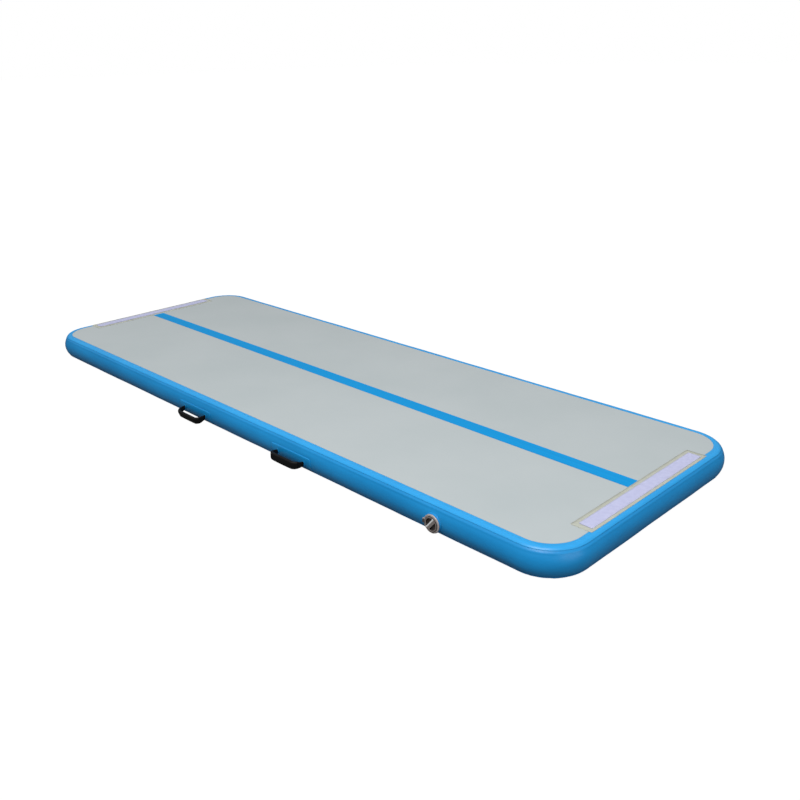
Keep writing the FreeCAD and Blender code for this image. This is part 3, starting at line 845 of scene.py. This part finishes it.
for name, (low, high) in zip(HANDLES, PATCHES):
    wall_patch("patch_" + name, "handle_" + name + "_patch", low, high, 1 if low.y > 0 else -1,
               PATCH_CORNER, PATCH_THICK, coated_wall)
joint_low, joint_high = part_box("wall_joint_patch")
wall_patch("wall_joint_cover", "wall_joint_patch", joint_low, joint_high, 1, JOINT_CORNER,
           PATCH_THICK, coated_wall)

# %% [markdown]
# ## The carry handles
#
# A handle is one length of webbing, bent into a U, with a padded sleeve over the middle. Its ends
# go through slits in the patch and are welded behind it. Strap and sleeve both start as a straight
# bar with rounded edges, and one function bends a bar round the U. Each point of the strap keeps
# how far along it is, which the webbing's ribs follow. The model's hinge stands for the webbing's
# bending near the wall, so the bend is spread over a short length near the root, between the mat's
# side and the handle's tilt; the strap itself is put on no body.

# %% Measures of a handle, from the model
STRAP_THICK = 5 * MM
STRAP_BEND = 24 * MM              # radius of the strap's middle line
ROOT_Y = 526 * MM
REACH = 31 * MM
BAR_Y = ROOT_Y + REACH
SLIT_Y = 517.5 * MM                 # where the strap ends, behind the patch
GRIP_HALF = Vector((0, 7, 14)) * MM
GRIP_EDGE = 6.2 * MM
SEAM_HALF = 46 * MM
GATHER_Y, GATHER_LENGTH = 521 * MM, 23 * MM
WELT_Y = 520.9 * MM
BEND_BEFORE, BEND_LENGTH = 3 * MM, 9 * MM       # where the strap bends, from just before its root
LOWEST = -38                        # degrees, of every handle's joint
tilts = {}
for joint in frame["joints"]:
    if joint["name"].startswith("handle_"):
        tilts[joint["name"][7:-5]] = LOWEST - joint["range_deg"][0]
TWISTS = {"near_left": 0.0, "near_right": 0.0, "far_left": -1.5, "far_right": 1.5}   # in mm
print("handles hang at", tilts)


# %% Bending a straight bar into a handle
def straight_bar(length, half_y, half_z, edge, steps):
    """A bar along X with rounded long edges, cut across into short lengths."""
    bm = bmesh.new()
    bmesh.ops.create_cube(bm, size=1, matrix=Matrix.Diagonal((length, 2 * half_y, 2 * half_z, 1)))
    long_edges = [e for e in bm.edges if abs(e.verts[0].co.x - e.verts[1].co.x) > length / 2]
    bmesh.ops.bevel(bm, geom=long_edges, offset=edge, segments=4, profile=0.5, affect="EDGES",
                    material=-1)
    for index in range(1, steps):
        bmesh.ops.bisect_plane(bm, geom=bm.verts[:] + bm.edges[:] + bm.faces[:],
                               plane_co=(length * (index / steps - 0.5), 0, 0), plane_no=(1, 0, 0))
    return bm


def round_the_u(point, half):
    """From a place on the straight bar to the same place on the U, whose legs are `half` out."""
    straight = half - STRAP_BEND
    over = max(0.0, abs(point.x) - straight)
    turn = min(over / STRAP_BEND, math.pi / 2)
    radius = STRAP_BEND + point.y
    x = min(abs(point.x), straight) + radius * math.sin(turn)
    y = BAR_Y - STRAP_BEND + radius * math.cos(turn) - (over - turn * STRAP_BEND)
    return Vector((math.copysign(x, point.x), y, point.z))


def hang(bm, root, side, tilt):
    """Puts a handle's piece on its side of the mat and bends it at its root."""
    if side < 0:
        bmesh.ops.transform(bm, matrix=Matrix.Scale(-1, 4, (0, 1, 0)), verts=bm.verts)
        bmesh.ops.reverse_faces(bm, faces=bm.faces)
    bmesh.ops.translate(bm, verts=bm.verts, vec=(root.x, 0, root.z))
    for vert in bm.verts:
        share = min(1.0, max(0.0, (side * (vert.co.y - root.y) + BEND_BEFORE) / BEND_LENGTH))
        share = share * share * (3 - 2 * share)
        turn = Matrix.Rotation(math.radians(tilt) * share * side, 3, "X")
        vert.co = root + turn @ (vert.co - root)


# %% Strap, sleeve, seam and welts of each handle
def carry_handle(name):
    anchor_low, anchor_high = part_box("handle_" + name + "_anchors")
    side = 1 if anchor_low.y > 0 else -1
    root = Vector(((anchor_low.x + anchor_high.x) / 2, side * ROOT_Y,
                   (anchor_low.z + anchor_high.z) / 2))
    half = (anchor_high.x - anchor_low.x) / 2 - STRAP_THICK / 2
    wide = (anchor_high.z - anchor_low.z) / 2
    tilt, twist, body = tilts[name], TWISTS[name], "handle_" + name
    bend = math.pi / 2 * STRAP_BEND
    reach = half - STRAP_BEND + bend                   # from the bar's middle to the leg's start
    length = 2 * (reach + BAR_Y - STRAP_BEND - SLIT_Y)
    bm = straight_bar(length, STRAP_THICK / 2, wide, 1.8 * MM, 96)
    along = bm.verts.layers.float.new("along")
    for vert in bm.verts:
        vert[along] = vert.co.x
        rise = twist * MM * max(-1.0, min(1.0, vert.co.x / reach))
        vert.co = round_the_u(vert.co, half)
        vert.co.z += rise * min(1.0, max(0.0, (vert.co.y - ROOT_Y) / (REACH * 0.6)))
        # the legs are gathered where they leave the slit
        vert.co.z *= 0.62 + 0.38 * min(1.0, max(0.0, (vert.co.y - GATHER_Y) / GATHER_LENGTH))
    hang(bm, root, side, tilt)
    strap = piece("strap_" + name, bm, None, black_webbing,
                  ["handle_" + name + "_strap", "handle_" + name + "_anchors"])
    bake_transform(strap)
    # the sleeve runs into both bends, full in the middle and gathered at its ends
    cover = 2 * (half - STRAP_BEND + 0.7 * bend)
    bm = straight_bar(cover, GRIP_HALF.y, GRIP_HALF.z, GRIP_EDGE, 56)
    for vert in bm.verts:
        end = abs(vert.co.x) / (cover / 2)
        taper = max(0.0, (end - 0.62) / 0.38) ** 2
        vert.co.y *= 1 - 0.42 * taper
        vert.co.z *= 1 - 0.08 * taper
        if vert.co.z < 0:
            vert.co.z -= 1.5 * MM * (1 - end * end)
        vert.co.z += twist * MM * vert.co.x / (cover / 2)
        pull = noise.noise(Vector((vert.co.x * 160, vert.co.z * 60, vert.co.y * 60 + root.x * 10)))
        vert.co += Vector((0, vert.co.y, vert.co.z)).normalized() * pull * 0.35 * MM * (0.4 + end)
        vert.co = round_the_u(vert.co, half)
    hang(bm, root, side, tilt)
    grip = piece("grip_" + name, bm, body, grip_sleeve, ["handle_" + name + "_grip"])
    # the sleeve's closing seam, along the side that faces the mat
    lean = Matrix.Rotation(math.radians(tilt) * side, 3, "X")
    ends = [root + lean @ Vector((s * SEAM_HALF, side * (REACH - GRIP_HALF.y - 0.1 * MM), 0))
            for s in (-1, 1)]
    stitched("grip_seam_" + name, ends, 3.2 * MM, 0.8 * MM, black_thread, body,
             closed=False)
    for letter, s in (("a", -1), ("b", 1)):
        slit_welt("welt_" + name + "_" + letter,
                  Vector((root.x + s * half, side * WELT_Y, root.z)), wide * 0.62, side)


def slit_welt(name, centre, half_z, side):
    """The raised edge round a slit: an oval ring, pressed up from the patch."""
    bm = bmesh.new()
    around = 20
    for inset, rise in ((0, 0), (1.0 * MM, 0.9 * MM), (2.0 * MM, 0.9 * MM), (2.6 * MM, 0)):
        made = bmesh.ops.create_circle(bm, segments=around, radius=1)["verts"]
        for vert in made:
            vert.co = centre + Vector((vert.co.x * (5.6 * MM - inset), side * rise,
                                       vert.co.y * (half_z + 4 * MM - inset)))
    rings = [bm.edges[start:start + around] for start in range(0, len(bm.edges), around)]
    for outer, inner in zip(rings, rings[1:]):
        bmesh.ops.bridge_loops(bm, edges=outer + inner)
    face_from(bm, side)
    piece(name, bm, "mat", coated_wall, ())


def face_from(bm, side):
    bmesh.ops.recalc_face_normals(bm, faces=bm.faces)
    if sum(f.normal.y * f.calc_area() for f in bm.faces) * side < 0:
        bmesh.ops.reverse_faces(bm, faces=bm.faces)


for name in HANDLES:
    carry_handle(name)

# %% [markdown]
# ## The valve
#
# The model's valve pieces have the right shapes already: a flange, a well, a cap with a finger bar
# and a strap that keeps it on. Only the patch under the flange is soft, so it is made again as a
# welded ring that follows the wall.

# %% Patch under the valve
VALVE_PATCH = 33.5 * MM
bm = bmesh.new()
bmesh.ops.create_circle(bm, cap_ends=False, segments=64, radius=VALVE_PATCH)
bmesh.ops.create_circle(bm, cap_ends=False, segments=64, radius=HOLE)
bmesh.ops.bridge_loops(bm, edges=bm.edges[:])
bmesh.ops.subdivide_edges(bm, edges=[e for e in bm.edges if abs(
    e.verts[0].co.length - e.verts[1].co.length) > 1 * MM], cuts=3, use_grid_fill=True)
for vert in bm.verts:
    thin = max(0.0, (vert.co.length - VALVE_PATCH + 1.5 * MM) / (1.5 * MM))
    vert.co = on_wall(VALVE.x + vert.co.x, VALVE.z + vert.co.y, (1.0 - 0.7 * thin) * MM, -1)
face_outwards(bm)
valve_ring = piece("valve_weld_ring", bm, "mat", coated_wall, ["valve_patch"])
thicken(valve_ring, 0.3 * MM)

# %% [markdown]
# ## Spring behind the button
#
# A coil of round wire sits between the button and the turning bush. It is made again here as four
# turns of wire that fill the model's spring, on the mat's body.

# %% Coil
WIRE, TURNS, TURN_STEPS = 0.4 * MM, 4, 36
spring_low, spring_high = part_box("valve_spring")
rise = spring_high.y - spring_low.y - 2 * WIRE
bm = bmesh.new()
bmesh.ops.create_circle(bm, cap_ends=True, segments=8, radius=WIRE)
bmesh.ops.translate(bm, verts=bm.verts, vec=(
    spring_high.x - WIRE, spring_low.y + WIRE, (spring_low.z + spring_high.z) / 2))
spun(bm, bm.verts[:] + bm.edges[:], TURNS * TURN_STEPS, TURNS * 2 * math.pi, VALVE, (0, 1, 0),
     (0, rise / (TURNS * TURN_STEPS), 0))
bmesh.ops.holes_fill(bm, edges=[e for e in bm.edges if e.is_boundary], sides=8)
bmesh.ops.recalc_face_normals(bm, faces=bm.faces)
coil = piece("valve_coil", bm, "mat", spring_wire, ["valve_spring"])
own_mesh(coil)

# %% [markdown]
# ## Floor and light
#
# A catalogue picture of a mat is taken on white. The floor and the sky are plain white to the
# camera and duller to everything else, as a studio floor is that falls off outside the lamps. That
# keeps blue light from bouncing back under the mat, so the wall darkens towards the floor and its
# roundness shows. One large softbox stands behind the camera and lights the shoulder of the wall,
# and a small one stands low beyond the right end and fills the end wall.

# %% Floor
FLOOR_BOUNCE = 0.13
FLOOR_HALF = 60                     # metres
bm = bmesh.new()
bmesh.ops.create_grid(bm, x_segments=1, y_segments=1, size=FLOOR_HALF)


def white_floor():
    made = bpy.data.materials.new("pale_studio_floor")
    made.use_nodes = True
    tree = made.node_tree
    tree.nodes.clear()
    path = add(tree, "LightPath")
    dull = add(tree, "BsdfDiffuse", {"Color": (FLOOR_BOUNCE, FLOOR_BOUNCE, FLOOR_BOUNCE, 1.0)})
    pale = add(tree, "BsdfDiffuse", {"Color": linear("F4F4F4")})
    glow = add(tree, "Emission", {"Color": (1.0, 1.0, 1.0, 1.0), "Strength": 1.04})
    # a twentieth of the plain floor is kept, for a hint of shade where the mat touches it
    seen = add(tree, "MixShader", {0: 0.95, 1: pale.outputs["BSDF"], 2: glow.outputs["Emission"]})
    both = add(tree, "MixShader", {0: path.outputs["Is Camera Ray"], 1: dull.outputs["BSDF"],
                                   2: seen.outputs["Shader"]})
    add(tree, "OutputMaterial", {"Surface": both.outputs["Shader"]})
    return made


floor = piece("floor", bm, None, white_floor())
floor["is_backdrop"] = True

# %% Light
SKY_LOW, SKY_RISE = 0.08, 0.60      # the sky's brightness at the horizon, and what the zenith adds
world = bpy.data.worlds.new("pale_sky")
bpy.context.scene.world = world
world.use_nodes = True
tree = world.node_tree
way = add(tree, "TexCoord").outputs["Generated"]
height = add(tree, "SeparateXYZ", {"Vector": way}).outputs["Z"]
above = add(tree, "Math", {0: height, 1: 0.0}, operation="MAXIMUM").outputs[0]
level = add(tree, "Math", {0: above, 1: SKY_RISE, 2: SKY_LOW}, operation="MULTIPLY_ADD").outputs[0]
path = add(tree, "LightPath")
level = add(tree, "Math", {0: level, 1: path.outputs["Is Camera Ray"]}, operation="MAXIMUM").outputs[0]
sky = tree.nodes["Background"]
sky.inputs["Color"].default_value = (1.0, 1.0, 1.0, 1.0)
tree.links.new(level, sky.inputs["Strength"])
# name, width, height, watts, place
LAMPS = (("softbox", 4.0, 3.0, 290.0, (1.9, -3.2, 5.8)),
         ("end_fill", 3.6, 1.6, 26.0, (5.5, -0.7, 0.9)))
for name, wide, tall, watts, place in LAMPS:
    lamp_data = bpy.data.lights.new(name, "AREA")
    lamp_data.shape, lamp_data.size, lamp_data.size_y, lamp_data.energy = "RECTANGLE", wide, tall, watts
    lamp = bpy.data.objects.new(name, lamp_data)
    lamp.location = place
    lamp.rotation_euler = lamp.location.to_track_quat("Z", "Y").to_euler()
    bpy.context.scene.collection.objects.link(lamp)
bpy.context.scene.view_settings.view_transform = "Standard"

# %% [markdown]
# ## Sizes
#
# The last step works out how large the model and the looks round it came out.

# %% Sizes, and the end
low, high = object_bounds()
